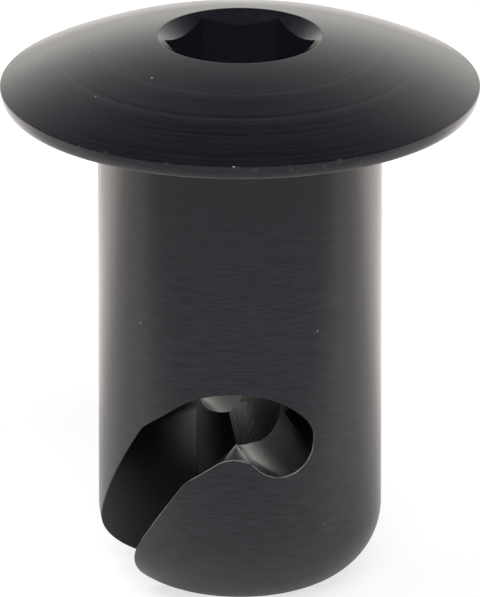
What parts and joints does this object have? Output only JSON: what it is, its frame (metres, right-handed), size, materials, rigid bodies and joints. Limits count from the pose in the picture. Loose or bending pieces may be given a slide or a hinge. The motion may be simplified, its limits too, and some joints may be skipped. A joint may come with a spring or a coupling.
{
  "type": "quarter-turn cam stud",
  "caption": "Domed-head quarter-turn stud with a hexagon socket and a plain shank, drilled up its axis; a cam slot across it climbs over a hump into a detent to catch a spring wire.",
  "frame": {"origin": "centre of the head's underside, where the shank begins", "axes": "+Z along the stud's axis from the shank up through the head, -Y towards the side that shows the hump of one slot arm, +X to the right of that view"},
  "size_m": [0.0186, 0.0186, 0.0223],
  "materials": {
    "black_anodised": "black anodised over fine turning marks, satin gloss"
  },
  "bodies": {
    "root": {"stud": "black_anodised"}
  },
  "joints": []
}
